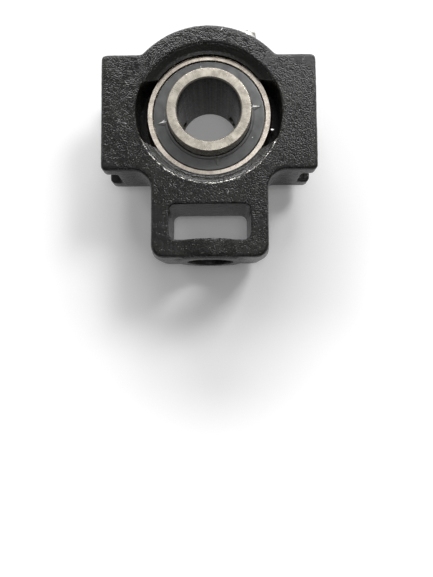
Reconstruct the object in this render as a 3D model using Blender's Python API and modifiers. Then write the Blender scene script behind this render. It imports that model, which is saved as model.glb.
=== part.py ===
"""Take-up bearing unit with a 30 mm ball bearing insert.

The unit lies on its back, as on a bench. The bore runs along +Z with the short side of the
inner ring up, the tail that takes the adjusting screw points along -Y, and the two guide
grooves open along +X and -X. The origin is under the middle of the unit, in the plane of
the inner ring's long end.
"""

import math

import bmesh
import bpy
from mathutils import Matrix, Vector

MM = 0.001

# Housing
FLANGE_SPAN = 102.0 * MM
FLANGE_LENGTH = 56.0 * MM
GROOVE_SPAN = 89.0 * MM
GROOVE_WIDTH = 12.0 * MM
BODY_THICKNESS = 28.0 * MM
DOME_WALL = 9.0 * MM
TAIL_REACH = 70.0 * MM
TAIL_WIDTH = 58.0 * MM
TAIL_WALL = 9.4 * MM
TAIL_FACE_STEP = 0.8 * MM
SCREW_HOLE = 22.0 * MM
BOSS_WALL = 7.5 * MM
BOSS_FILLET = 4.0 * MM
BOSS_EDGE = 2.5 * MM
BOSS_SINK = 0.15 * MM
BOSS_FILLET_END = 268
WINDOW_LENGTH = 16.6 * MM
WINDOW_WIDTH = 38.0 * MM
WINDOW_CORNER = 3.0 * MM
EDGE_ROUND = 1.2 * MM
FLANGE_CORNER = 2.2 * MM
TAIL_CORNER = 6.0 * MM
DOME_FILLET = 2.0 * MM
NECK_FILLET_FRONT = 9.0 * MM
NECK_FILLET_REAR = 4.5 * MM
DOME_DRAFT = 0.6 * MM
TAIL_DRAFT = 1.6 * MM

# Seat of the insert in the housing
SEAT_CLEARANCE = 0.3 * MM
SEAT_DEPTH = 3.2 * MM
LEDGE_WIDTH = 1.9 * MM
LEDGE_RISE = 0.5 * MM
LIP_WIDTH = 2.7 * MM
STEP_COUNT = 2
STEP_WIDTH = 1.1 * MM
STEP_DEPTH = 1.0 * MM
STEP_SHELF = 0.3 * MM
NOTCH_MARGIN = 0.6 * MM
NOTCH_WIDTH = 28.0 * MM
NOTCH_FLARE = 0.4
NOTCH_CORNER = 1.2 * MM
NOTCH_FLOOR = 1.0 * MM

# Insert, from the bore outwards; it makes a ball 62 mm across and 19 mm wide
BORE_DIAMETER = 30.0 * MM
SLEEVE_WALL = 5.1 * MM
RACE_DEPTH = 2.1 * MM
RACE_CONFORMITY = 0.53
BALL_COUNT = 9
BALL_DIAMETER = 9.525 * MM
RUNNING_GAP = 0.2375 * MM
OUTER_RACE_WALL = 3.0 * MM
OUTER_RING_FACE = 2.4 * MM
SHORT_SIDE_REACH = 6.4 * MM
LONG_SIDE_REACH = 12.7 * MM
SLEEVE_CHAMFER = 0.5 * MM
BORE_CHAMFER = 0.6 * MM
OUTER_CHAMFER = 0.3 * MM
FIT_GAP = 0.3 * MM

# Seals and slingers
SEAL_THICKNESS = 1.2 * MM
SEAL_CLEARANCE = 0.4375 * MM
SLINGER_DEPTH = 1.5 * MM
SLINGER_SHEET = 0.9 * MM
SLINGER_SETBACK = 0.3 * MM
SLINGER_GAP = 0.35 * MM
SLINGER_FLANGE = 0.5 * MM
RIDGE_COUNT = 4
RIDGE_TURN = 9.5
RIDGE_LENGTH = 3.4 * MM
RIDGE_WIDTH = 2.0 * MM
RIDGE_HEIGHT = 1.4 * MM

# Cage
CAGE_WIDTH = 3.6 * MM
CAGE_SHEET = 0.7 * MM
RIVET_DIAMETER = 1.2 * MM
RIVET_HEAD_DIAMETER = 2.4 * MM
RIVET_HEAD_HEIGHT = 0.6 * MM

# Set screws and locating pin
SET_SCREW_DIAMETER = 6.0 * MM
SET_SCREW_LENGTH = 5.0 * MM
SET_SCREW_SOCKET = 3.0 * MM
SET_SCREW_POINT = 0.9 * MM
SET_SCREW_INSET = 5.0 * MM
SET_SCREW_BACKED_OUT = 1.0 * MM
SET_SCREW_ANGLES = (36.5, 156.5)
PIN_DIAMETER = 2.4 * MM
PIN_ANGLE = -8.4
PIN_HEIGHT = 2.5 * MM
PIN_STAND_OUT = 1.6 * MM
PIN_DEPTH = 1.2 * MM

# Grease nipple
NIPPLE_ANGLE = 24.5
NIPPLE_PAD_HEIGHT = 2.0 * MM
NIPPLE_PAD_DIAMETER = 12.0 * MM
NIPPLE_HEX = 8.0 * MM
NIPPLE_HEX_HEIGHT = 3.8 * MM
HEX_CHAMFER = 0.4 * MM
HEX_SHOULDER = 0.6 * MM
NIPPLE_HEIGHT = 7.6 * MM
NIPPLE_THREAD = 6.0 * MM
NIPPLE_THREAD_LENGTH = 5.4 * MM
NIPPLE_HEAD = 6.6 * MM
NIPPLE_NECK = 5.0 * MM
NIPPLE_BAND = 0.6 * MM
NIPPLE_UNDERCUT = 0.8 * MM
NIPPLE_CROWN_DROP = 0.5 * MM
NIPPLE_MOUTH = 1.8 * MM
NIPPLE_LIP = 0.4 * MM
NIPPLE_CHAMBER = 3.2 * MM
NIPPLE_CHAMBER_FLOOR = 1.1 * MM
NIPPLE_BALL = 2.6 * MM
NIPPLE_BALL_TRAVEL = 0.8 * MM
NIPPLE_PASSAGE = 1.6 * MM
SPRING_WIRE = 0.4 * MM
SPRING_TURNS = 3
SPRING_POINTS = 10
GREASE_HOLE = 3.0 * MM

# Fineness of the round surfaces
RING_STEPS = 40
SEAL_STEPS = 32
HOLE_STEPS = 32
PAD_STEPS = 24
SMALL_STEPS = 16
PASSAGE_STEPS = 12
RIVET_STEPS = 8
CAGE_STEPS_PER_BALL = 8

# How far a cutter runs past the face that it opens
CUT_OVER = 2.0 * MM

# Worked-out places
HALF_BODY = BODY_THICKNESS / 2
BALL_RADIUS = BALL_DIAMETER / 2
INNER_RADIUS = BORE_DIAMETER / 2 + SLEEVE_WALL
INNER_RACE = INNER_RADIUS - RACE_DEPTH
PITCH_RADIUS = INNER_RACE + RUNNING_GAP + BALL_RADIUS
OUTER_RACE = PITCH_RADIUS + BALL_RADIUS + RUNNING_GAP
OUTER_SHOULDER = OUTER_RACE - RACE_DEPTH
SPHERE_RADIUS = OUTER_RACE + OUTER_RACE_WALL
GROOVE_RADIUS = RACE_CONFORMITY * BALL_DIAMETER
CAGE_POCKET = BALL_RADIUS + FIT_GAP
SEAL_FACE = CAGE_POCKET + CAGE_SHEET + SEAL_CLEARANCE
SEAL_SEAT = SEAL_FACE - FIT_GAP
SLINGER_LOW = SEAL_FACE + SEAL_THICKNESS + FIT_GAP
SLINGER_TOP = SLINGER_LOW + SLINGER_DEPTH
HALF_OUTER = SLINGER_TOP + SLINGER_SETBACK
INNER_RING_SHORT_SIDE = HALF_OUTER + SHORT_SIDE_REACH
INNER_RING_LONG_SIDE = HALF_OUTER + LONG_SIDE_REACH
OUTER_FACE_RADIUS = math.sqrt(SPHERE_RADIUS ** 2 - HALF_OUTER ** 2)
OUTER_LAND = OUTER_FACE_RADIUS - OUTER_RING_FACE
SLINGER_RADIUS = OUTER_LAND - SLINGER_GAP
SET_SCREW_HEIGHT = SET_SCREW_INSET - INNER_RING_LONG_SIDE
SEAT_RADIUS = SPHERE_RADIUS + SEAT_CLEARANCE
LIP_RADIUS = SEAT_RADIUS + LIP_WIDTH
NOTCH_RADIUS = LIP_RADIUS + NOTCH_MARGIN
DOME_RADIUS = LIP_RADIUS + DOME_WALL
BOSS_RADIUS = SCREW_HOLE / 2 + BOSS_WALL
NIPPLE_PAD_REACH = DOME_RADIUS + NIPPLE_PAD_HEIGHT
NIPPLE_DIRECTION = Vector((0, 1, 0))
NIPPLE_DIRECTION.rotate(Matrix.Rotation(-math.radians(NIPPLE_ANGLE), 3, "Z"))
NIPPLE_CROWN = 0.75 * NIPPLE_HEAD / 2
NIPPLE_CROWN_REACH = NIPPLE_PAD_REACH + NIPPLE_HEIGHT - NIPPLE_CROWN_DROP
NIPPLE_TOP = NIPPLE_CROWN_REACH * NIPPLE_DIRECTION.y + NIPPLE_CROWN * NIPPLE_DIRECTION.x
TOP_REACH = max(DOME_RADIUS, NIPPLE_TOP)
BEARING_CENTRE = Vector((0, (TAIL_REACH - TOP_REACH) / 2, INNER_RING_LONG_SIDE))


def clear_scene():
    for item in list(bpy.data.objects):
        bpy.data.objects.remove(item, do_unlink=True)


def new_collection(name):
    collection = bpy.data.collections.new(name)
    bpy.context.scene.collection.children.link(collection)
    return collection


clear_scene()
UNIT = new_collection("take_up_bearing_unit")
CUTTERS = new_collection("cutters")


def finish(name, color, roughness, metallic):
    material = bpy.data.materials.new(name)
    material.use_nodes = True
    shader = material.node_tree.nodes["Principled BSDF"]
    shader.inputs["Base Color"].default_value = (*color, 1)
    shader.inputs["Roughness"].default_value = roughness
    shader.inputs["Metallic"].default_value = metallic
    return material


BLACK_PAINT = finish("black_paint", (0.02, 0.021, 0.024), 0.35, 0.0)
GROUND_STEEL = finish("ground_steel", (0.62, 0.56, 0.50), 0.3, 1.0)
SLINGER_STEEL = finish("slinger_steel", (0.16, 0.18, 0.20), 0.45, 0.6)
BALL_STEEL = finish("ball_steel", (0.75, 0.75, 0.76), 0.1, 1.0)
CAGE_STEEL = finish("cage_steel", (0.5, 0.48, 0.45), 0.35, 1.0)
SEAL_RUBBER = finish("seal_rubber", (0.03, 0.03, 0.035), 0.7, 0.0)
BLACK_OXIDE = finish("black_oxide", (0.05, 0.05, 0.055), 0.4, 0.8)
ZINC_PLATE = finish("zinc_plate", (0.78, 0.78, 0.75), 0.25, 1.0)
SPRING_STEEL = finish("spring_steel", (0.45, 0.45, 0.46), 0.3, 1.0)


def empty(name, parent, location):
    frame = bpy.data.objects.new(name, None)
    UNIT.objects.link(frame)
    frame.parent = parent
    frame.location = location
    return frame


def add_mesh(name, shape, collection):
    mesh = bpy.data.meshes.new(name)
    shape.to_mesh(mesh)
    shape.free()
    item = bpy.data.objects.new(name, mesh)
    collection.objects.link(item)
    return item


def as_part(item, material, parent):
    item.data.materials.append(material)
    item.data.shade_smooth()
    item.data.set_sharp_from_angle(angle=math.radians(35))
    item.parent = parent
    return item


def as_cutter(item, parent):
    item.hide_render = True
    item.display_type = "WIRE"
    item.parent = parent
    return item


def combine(item, tool, operation):
    boolean = item.modifiers.new(tool.name, "BOOLEAN")
    boolean.operation = operation
    boolean.solver = "EXACT"
    boolean.object = tool


def turned(name, profile, steps, collection, closed=True):
    """A profile of (radius, height) points, turned about Z with a Screw modifier."""
    mesh = bpy.data.meshes.new(name)
    points = [(radius, 0, height) for radius, height in profile]
    edges = [(i, i + 1) for i in range(len(points) - 1)]
    if closed:
        edges.append((len(points) - 1, 0))
    mesh.from_pydata(points, edges, [])
    item = bpy.data.objects.new(name, mesh)
    collection.objects.link(item)
    screw = item.modifiers.new("turn", "SCREW")
    screw.steps = steps
    screw.render_steps = steps
    screw.use_merge_vertices = True
    screw.merge_threshold = 0.00001
    return item


def box(name, size, centre, parent):
    shape = bmesh.new()
    bmesh.ops.create_cube(shape, size=1)
    bmesh.ops.scale(shape, vec=Vector(size), verts=shape.verts)
    bmesh.ops.translate(shape, vec=Vector(centre), verts=shape.verts)
    return as_cutter(add_mesh(name, shape, CUTTERS), parent)


def rod(name, diameter, start, end, direction, parent, steps=RING_STEPS):
    """A cylinder from one distance to another along a direction through the parent's origin."""
    shape = bmesh.new()
    bmesh.ops.create_cone(
        shape, cap_ends=True, segments=steps, radius1=diameter / 2, radius2=diameter / 2, depth=end - start)
    bmesh.ops.translate(shape, vec=(0, 0, (start + end) / 2), verts=shape.verts)
    turn = Vector(direction).to_track_quat("Z", "Y").to_matrix()
    bmesh.ops.rotate(shape, matrix=turn, verts=shape.verts)
    return as_cutter(add_mesh(name, shape, CUTTERS), parent)


def arc(centre, radius, first, last, count):
    """Points on a circle from one angle to another, in degrees, both ends included."""
    angles = [math.radians(first + (last - first) * i / count) for i in range(count + 1)]
    return [(centre[0] + radius * math.cos(a), centre[1] + radius * math.sin(a)) for a in angles]


def loft(name, sections, collection):
    """A closed body through rings of points that all have the same count."""
    shape = bmesh.new()
    rings = []
    for section in sections:
        verts = [shape.verts.new(point) for point in section]
        edges = [shape.edges.new((verts[i - 1], verts[i])) for i in range(len(verts))]
        rings.append(edges)
    for lower, upper in zip(rings, rings[1:]):
        bmesh.ops.bridge_loops(shape, edges=lower + upper)
    bmesh.ops.contextual_create(shape, geom=rings[0])
    bmesh.ops.contextual_create(shape, geom=rings[-1])
    bmesh.ops.recalc_face_normals(shape, faces=shape.faces)
    return add_mesh(name, shape, collection)


def rounded_levels(half_height, edge):
    """Heights with the inset of a rounded edge, from the lower face to the upper one."""
    upper = [(0, 0)]
    for angle in (0, 45, 90):
        a = math.radians(angle)
        upper.append((half_height - edge + edge * math.sin(a), edge * (1 - math.cos(a))))
    lower = [(-height, inset) for height, inset in reversed(upper[1:])]
    return lower + upper


def housing_outline(height, inset):
    """The casting's outline at one height: dome, flanges and tail, drawn in by draft and edge."""
    share = abs(height) / HALF_BODY
    rise = (height + HALF_BODY) / BODY_THICKNESS
    dome = DOME_RADIUS - DOME_DRAFT * share - inset
    side = FLANGE_SPAN / 2 - inset
    top = FLANGE_LENGTH / 2 - inset
    tail = TAIL_WIDTH / 2 - TAIL_DRAFT * share - inset
    end = TAIL_REACH - TAIL_FACE_STEP - inset
    neck = NECK_FILLET_REAR + (NECK_FILLET_FRONT - NECK_FILLET_REAR) * rise
    corner = FLANGE_CORNER
    fillet_x = math.sqrt((dome + DOME_FILLET) ** 2 - (top + DOME_FILLET) ** 2)
    fillet_angle = math.degrees(math.atan2(top + DOME_FILLET, fillet_x))
    half = arc((0, 0), dome, 90, fillet_angle, 10)
    half += arc((fillet_x, top + DOME_FILLET), DOME_FILLET, 180 + fillet_angle, 270, 3)[1:]
    half += arc((side - corner, top - corner), corner, 90, 0, 3)
    half += arc((side - corner, corner - top), corner, 0, -90, 3)
    half += arc((tail + neck, -top - neck), neck, 90, 180, 5)
    half += arc((tail - TAIL_CORNER, TAIL_CORNER - end), TAIL_CORNER, 0, -90, 4)
    other = [(-x, y) for x, y in reversed(half[1:])]
    return [(x, y, height) for x, y in half + other]


def boss_section(y, size=1):
    """The round tail boss with its fillets onto the flat faces of the tail."""
    radius = BOSS_RADIUS
    plate = HALF_BODY - BOSS_SINK
    fillet_x = math.sqrt((radius + BOSS_FILLET) ** 2 - (plate + BOSS_FILLET) ** 2)
    meet = math.degrees(math.atan2(plate + BOSS_FILLET, fillet_x))
    side = math.degrees(math.acos(fillet_x / radius))
    half = arc((0, 0), radius, 90, meet, 4)
    half += arc((fillet_x, plate + BOSS_FILLET), BOSS_FILLET, 180 + meet, BOSS_FILLET_END, 3)[1:]
    half += arc((0, 0), radius, side, 0, 3)
    half += [(x, -z) for x, z in reversed(half[:-1])]
    other = [(-x, z) for x, z in reversed(half[1:-1])]
    return [(x * size, y, z * size) for x, z in half + other]


def make_tail_boss(parent):
    sections = [boss_section(TAIL_WALL + BOSS_FILLET - TAIL_REACH)]
    for angle in (0, 30, 60, 90):
        a = math.radians(angle)
        y = BOSS_EDGE * (1 - math.sin(a)) - TAIL_REACH
        sections.append(boss_section(y, 1 - BOSS_EDGE * (1 - math.cos(a)) / BOSS_RADIUS))
    return as_cutter(loft("tail_boss", sections, CUTTERS), parent)


def seat_cutter(parent):
    """The round opening: lip, steps, ledge and spherical seat, alike on both sides."""
    seat_top = HALF_BODY - SEAT_DEPTH
    seat_edge = math.degrees(math.asin(seat_top / SEAT_RADIUS))
    front = [(0, HALF_BODY + CUT_OVER), (LIP_RADIUS + CUT_OVER, HALF_BODY + CUT_OVER)]
    front.append((LIP_RADIUS, HALF_BODY))
    for number in range(1, STEP_COUNT + 1):
        radius = LIP_RADIUS - number * STEP_WIDTH
        height = HALF_BODY - number * STEP_DEPTH
        front += [(radius + STEP_SHELF, height), (radius, height - STEP_SHELF / 3)]
    ledge = math.sqrt(SEAT_RADIUS ** 2 - seat_top ** 2) + LEDGE_WIDTH
    front += [(ledge, seat_top + LEDGE_RISE), (ledge - LEDGE_WIDTH / 2, seat_top + LEDGE_RISE / 2)]
    rear = [(radius, -height) for radius, height in reversed(front)]
    ball = arc((0, 0), SEAT_RADIUS, seat_edge, -seat_edge, 8)
    return as_cutter(turned("seat_cutter", front + ball + rear, RING_STEPS, CUTTERS, closed=False), parent)


def notch_cutter(name, side, parent):
    """A loading notch: the insert goes in edgewise here and is then turned to lie flat."""
    half = NOTCH_WIDTH / 2
    outer = math.asin(half / NOTCH_RADIUS)
    last = math.degrees(outer - NOTCH_CORNER / NOTCH_RADIUS)
    inner_x = SEAT_RADIUS / 2
    wall_x = NOTCH_RADIUS * math.cos(outer)
    inner_half = half + NOTCH_FLARE * (wall_x - inner_x)
    flare = NOTCH_FLARE * NOTCH_CORNER
    outline = arc((0, 0), NOTCH_RADIUS, -last, last, 8)
    outline += [(wall_x - NOTCH_CORNER, half + flare), (inner_x, inner_half)]
    outline += [(inner_x, -inner_half), (wall_x - NOTCH_CORNER, -half - flare)]
    levels = (-NOTCH_FLOOR, HALF_BODY + CUT_OVER)
    sections = [[(side * x, y, z) for x, y in outline] for z in levels]
    return as_cutter(loft(name, sections, CUTTERS), parent)


def window_cutter(parent):
    """The opening in the tail for the adjusting screw's nut."""
    half = WINDOW_WIDTH / 2
    low = TAIL_WALL - TAIL_REACH
    high = low + WINDOW_LENGTH
    r = WINDOW_CORNER
    outline = arc((half - r, high - r), r, 90, 0, 3)
    outline += arc((half - r, low + r), r, 0, -90, 3)
    outline += arc((r - half, low + r), r, 270, 180, 3)
    outline += arc((r - half, high - r), r, 180, 90, 3)
    reach = BOSS_RADIUS + CUT_OVER
    return as_cutter(loft("window_cutter", [[(x, y, z) for x, y in outline] for z in (-reach, reach)],
                          CUTTERS), parent)


def make_housing(parent):
    levels = rounded_levels(HALF_BODY, EDGE_ROUND)
    sections = [housing_outline(height, inset) for height, inset in levels]
    housing = as_part(loft("housing", sections, UNIT), BLACK_PAINT, parent)
    combine(housing, make_tail_boss(parent), "UNION")
    pad = rod("nipple_pad", NIPPLE_PAD_DIAMETER, DOME_RADIUS - 2 * CUT_OVER, NIPPLE_PAD_REACH,
              NIPPLE_DIRECTION, parent, PAD_STEPS)
    combine(housing, pad, "UNION")
    combine(housing, seat_cutter(parent), "DIFFERENCE")
    for name, side in (("right_notch", 1), ("left_notch", -1)):
        combine(housing, notch_cutter(name, side, parent), "DIFFERENCE")
    combine(housing, window_cutter(parent), "DIFFERENCE")
    hole_start = TAIL_REACH - TAIL_WALL - WINDOW_LENGTH / 2
    hole = rod("screw_hole", SCREW_HOLE, hole_start, TAIL_REACH + CUT_OVER, (0, -1, 0), parent, HOLE_STEPS)
    combine(housing, hole, "DIFFERENCE")
    groove_depth = (FLANGE_SPAN - GROOVE_SPAN) / 2
    for name, side in (("right_groove", 1), ("left_groove", -1)):
        centre = (side * (GROOVE_SPAN / 2 + groove_depth), 0, 0)
        size = (2 * groove_depth, FLANGE_LENGTH + 2 * CUT_OVER, GROOVE_WIDTH)
        combine(housing, box(name, size, centre, parent), "DIFFERENCE")
    nipple_seat = NIPPLE_PAD_REACH - NIPPLE_THREAD_LENGTH - 2 * FIT_GAP
    thread = rod("nipple_thread_hole", NIPPLE_THREAD, nipple_seat, NIPPLE_PAD_REACH + CUT_OVER,
                 NIPPLE_DIRECTION, parent, SMALL_STEPS)
    combine(housing, thread, "DIFFERENCE")
    passage = rod("grease_hole", GREASE_HOLE, SPHERE_RADIUS - CUT_OVER, nipple_seat + CUT_OVER / 2,
                  NIPPLE_DIRECTION, parent, PASSAGE_STEPS)
    combine(housing, passage, "DIFFERENCE")
    return housing


def race_arc(centre, radius, shoulder, outward, count=6):
    """Half-angle points of a ball groove in the ring section, from low to high."""
    reach = math.degrees(math.acos(abs(shoulder - centre) / radius))
    side = 0 if outward else 180
    turn = 1 if outward else -1
    return arc((centre, 0), radius, side - turn * reach, side + turn * reach, count)


def make_outer_ring(parent):
    edge = math.degrees(math.asin((HALF_OUTER - OUTER_CHAMFER) / SPHERE_RADIUS))
    ball_face = arc((0, 0), SPHERE_RADIUS, edge, -edge, 6)
    groove = race_arc(OUTER_RACE - GROOVE_RADIUS, GROOVE_RADIUS, OUTER_SHOULDER, True)
    face = OUTER_FACE_RADIUS - OUTER_CHAMFER
    profile = [(face, HALF_OUTER)] + ball_face + [(face, -HALF_OUTER)]
    profile += [(OUTER_LAND, -HALF_OUTER), (OUTER_LAND, -SEAL_SEAT), (OUTER_SHOULDER, -SEAL_SEAT)]
    profile += groove
    profile += [(OUTER_SHOULDER, SEAL_SEAT), (OUTER_LAND, SEAL_SEAT), (OUTER_LAND, HALF_OUTER)]
    ring = as_part(turned("outer_ring", profile, RING_STEPS, UNIT), GROUND_STEEL, parent)
    direction = Vector((math.cos(math.radians(PIN_ANGLE)), math.sin(math.radians(PIN_ANGLE)), 0))
    start = SPHERE_RADIUS - PIN_DEPTH
    hole = rod("pin_hole", PIN_DIAMETER + 2 * FIT_GAP, start - FIT_GAP, SPHERE_RADIUS + CUT_OVER,
               direction, parent, SMALL_STEPS)
    hole.location.z = PIN_HEIGHT
    combine(ring, hole, "DIFFERENCE")
    shape = bmesh.new()
    length = PIN_DEPTH + PIN_STAND_OUT
    bmesh.ops.create_cone(shape, cap_ends=True, segments=SMALL_STEPS, radius1=PIN_DIAMETER / 2,
                          radius2=PIN_DIAMETER / 2, depth=length)
    rims = [edge for edge in shape.edges if abs(edge.verts[0].co.z - edge.verts[1].co.z) < length / 2]
    bmesh.ops.bevel(shape, geom=rims, offset=PIN_DIAMETER / 8, segments=1, affect="EDGES", profile=0.5)
    pin = as_part(add_mesh("locating_pin", shape, UNIT), BALL_STEEL, parent)
    pin.rotation_euler = direction.to_track_quat("Z", "Y").to_euler()
    pin.location = direction * (start + length / 2) + Vector((0, 0, PIN_HEIGHT))
    return ring


def make_inner_ring(parent):
    bore = BORE_DIAMETER / 2
    top = INNER_RING_SHORT_SIDE
    low = -INNER_RING_LONG_SIDE
    out = SLEEVE_CHAMFER
    into = BORE_CHAMFER
    groove = race_arc(INNER_RACE + GROOVE_RADIUS, GROOVE_RADIUS, INNER_RADIUS, False)
    profile = [(INNER_RADIUS - out, top), (INNER_RADIUS, top - out)]
    profile += list(reversed(groove))
    profile += [(INNER_RADIUS, low + out), (INNER_RADIUS - out, low)]
    profile += [(bore + into, low), (bore, low + into), (bore, top - into), (bore + into, top)]
    ring = as_part(turned("inner_ring", profile, RING_STEPS, UNIT), GROUND_STEEL, parent)
    for number, angle in enumerate(SET_SCREW_ANGLES, start=1):
        direction = (math.cos(math.radians(angle)), math.sin(math.radians(angle)), 0)
        hole = rod(f"set_screw_hole_{number}", SET_SCREW_DIAMETER, bore - CUT_OVER, INNER_RADIUS + CUT_OVER,
                   direction, parent, SMALL_STEPS)
        hole.location.z = SET_SCREW_HEIGHT
        combine(ring, hole, "DIFFERENCE")
    return ring


def make_set_screw(number, angle, parent):
    """A cup-point socket screw; its own Z runs out along the hole."""
    radius = SET_SCREW_DIAMETER / 2 - FIT_GAP
    half = SET_SCREW_LENGTH / 2
    point = SET_SCREW_POINT
    profile = [(0, half), (radius - point / 2, half), (radius, half - point / 2), (radius, point - half)]
    profile += [(radius - point, -half), (0, point * 0.7 - half)]
    name = f"set_screw_{number}"
    screw = as_part(turned(name, profile, SMALL_STEPS, UNIT, closed=False), BLACK_OXIDE, parent)
    direction = Vector((math.cos(math.radians(angle)), math.sin(math.radians(angle)), 0))
    seat = INNER_RADIUS + SET_SCREW_BACKED_OUT - half
    screw.location = direction * seat + Vector((0, 0, SET_SCREW_HEIGHT))
    screw.rotation_euler = direction.to_track_quat("Z", "Y").to_euler()
    socket_width = SET_SCREW_SOCKET / math.cos(math.radians(30))
    socket = rod(f"socket_{number}", socket_width, 0, half + CUT_OVER, (0, 0, 1), screw, 6)
    combine(screw, socket, "DIFFERENCE")
    return screw


def make_ball(number, parent):
    shape = bmesh.new()
    bmesh.ops.create_uvsphere(shape, u_segments=12, v_segments=8, radius=BALL_RADIUS)
    return as_part(add_mesh(f"ball_{number}", shape, UNIT), BALL_STEEL, parent)


def ribbon_height(angle):
    """Height of the cage sheet's inner side, angle in radians: pockets with flats between."""
    pitch = 2 * math.pi / BALL_COUNT
    offset = (angle + pitch / 2) % pitch - pitch / 2
    along = abs(offset) * PITCH_RADIUS
    if along >= CAGE_POCKET:
        return FIT_GAP / 2
    return max(FIT_GAP / 2, math.sqrt(CAGE_POCKET ** 2 - along ** 2))


def make_cage_half(name, side, parent):
    """A pressed ribbon: a flat ring drawn up into pockets by formula, then given its sheet."""
    count = BALL_COUNT * CAGE_STEPS_PER_BALL
    shape = bmesh.new()
    inner = PITCH_RADIUS - CAGE_WIDTH / 2
    bmesh.ops.create_circle(shape, cap_ends=False, segments=count, radius=inner)
    edges = list(shape.edges)
    grown = bmesh.ops.extrude_edge_only(shape, edges=edges)["geom"]
    outer = [item for item in grown if isinstance(item, bmesh.types.BMVert)]
    scale = (inner + CAGE_WIDTH) / inner
    bmesh.ops.scale(shape, vec=(scale, scale, 1), verts=outer)
    for vert in shape.verts:
        vert.co.z = ribbon_height(math.atan2(vert.co.y, vert.co.x))
    bmesh.ops.recalc_face_normals(shape, faces=shape.faces)
    if shape.faces[0].normal.z < 0:
        bmesh.ops.reverse_faces(shape, faces=shape.faces)
    half = as_part(add_mesh(name, shape, UNIT), CAGE_STEEL, parent)
    sheet = half.modifiers.new("sheet", "SOLIDIFY")
    sheet.thickness = CAGE_SHEET
    sheet.offset = 1
    sheet.use_even_offset = True
    if side < 0:
        half.rotation_euler = (math.pi, 0, 0)
    hole_width = RIVET_DIAMETER + 2 * FIT_GAP
    for number in range(BALL_COUNT):
        hole = rod(f"{name}_hole_{number + 1}", hole_width, -CUT_OVER, CUT_OVER, (0, 0, 1), parent, RIVET_STEPS)
        hole.location = rivet_place(number)
        combine(half, hole, "DIFFERENCE")
    return half


def rivet_place(number):
    angle = 2 * math.pi * (number + 0.5) / BALL_COUNT
    return Vector((PITCH_RADIUS * math.cos(angle), PITCH_RADIUS * math.sin(angle), 0))


def make_rivet(number, parent):
    shank = RIVET_DIAMETER / 2
    head = RIVET_HEAD_DIAMETER / 2
    low = FIT_GAP / 2 + CAGE_SHEET + FIT_GAP
    high = low + RIVET_HEAD_HEIGHT
    profile = [(0, high), (head * 0.7, high), (head, low), (shank, low)]
    profile += [(radius, -height) for radius, height in reversed(profile)]
    rivet = turned(f"cage_rivet_{number + 1}", profile, RIVET_STEPS, UNIT, closed=False)
    rivet.location = rivet_place(number)
    return as_part(rivet, CAGE_STEEL, parent)


def make_seal(name, side, parent):
    """A lip seal in the outer ring; its bonded steel disc is sealed inside the rubber."""
    outer = OUTER_LAND - FIT_GAP
    lip = INNER_RADIUS + FIT_GAP
    top = SEAL_FACE + SEAL_THICKNESS
    bead = SEAL_THICKNESS / 6
    profile = [(outer, top), (outer, SEAL_FACE), (lip + 2 * SEAL_THICKNESS, SEAL_FACE)]
    profile += [(lip + SEAL_THICKNESS / 2, SEAL_FACE + bead), (lip, SEAL_FACE + 2 * bead)]
    profile += [(lip, SEAL_FACE + 4 * bead), (lip + 1.5 * SEAL_THICKNESS, top - bead)]
    profile += [(outer - SEAL_THICKNESS, top - bead)]
    seal = as_part(turned(name, profile, SEAL_STEPS, UNIT), SEAL_RUBBER, parent)
    if side < 0:
        seal.rotation_euler = (math.pi, 0, 0)
    return seal


def make_slinger(name, side, parent):
    """A pressed steel flinger with a turned-down rim and four raised ridges on its face."""
    inner = INNER_RADIUS + FIT_GAP
    low = SLINGER_LOW
    under = SLINGER_TOP - SLINGER_SHEET
    bend = SLINGER_SHEET / 3
    rim = SLINGER_RADIUS
    neck = inner + SLINGER_SHEET
    collar_top = SLINGER_TOP + SLINGER_FLANGE
    profile = [(rim - bend, SLINGER_TOP), (rim, SLINGER_TOP - bend), (rim, low), (rim - SLINGER_SHEET, low)]
    profile += [(rim - SLINGER_SHEET, under), (neck, under), (neck, low), (inner, low)]
    profile += [(inner, collar_top), (neck, collar_top), (neck, SLINGER_TOP)]
    slinger = as_part(turned(name, profile, RING_STEPS, UNIT), SLINGER_STEEL, parent)
    if side < 0:
        slinger.rotation_euler = (math.pi, 0, 0)
    for number in range(RIDGE_COUNT):
        ridge = make_ridge(f"{name}_ridge_{number + 1}", inner + SLINGER_SHEET / 2, parent)
        ridge.rotation_euler = slinger.rotation_euler
        ridge.rotation_euler.z = math.radians(RIDGE_TURN + 360 * number / RIDGE_COUNT)
        combine(slinger, ridge, "UNION")
    return slinger


def make_ridge(name, start, parent):
    """A small wedge that runs out from the collar to a point on the slinger's face."""
    half = RIDGE_WIDTH / 2
    low = SLINGER_TOP - SLINGER_SHEET / 2
    high = SLINGER_TOP + RIDGE_HEIGHT
    shape = bmesh.new()
    foot = [shape.verts.new((start, y, low)) for y in (-half, half)]
    back = [shape.verts.new((start, y, high)) for y in (-half / 6, half / 6)]
    tip = [shape.verts.new((start + RIDGE_LENGTH, 0, z)) for z in (low, SLINGER_TOP + RIDGE_HEIGHT / 8)]
    bmesh.ops.convex_hull(shape, input=foot + back + tip)
    bmesh.ops.recalc_face_normals(shape, faces=shape.faces)
    return as_cutter(add_mesh(name, shape, CUTTERS), parent)


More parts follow.
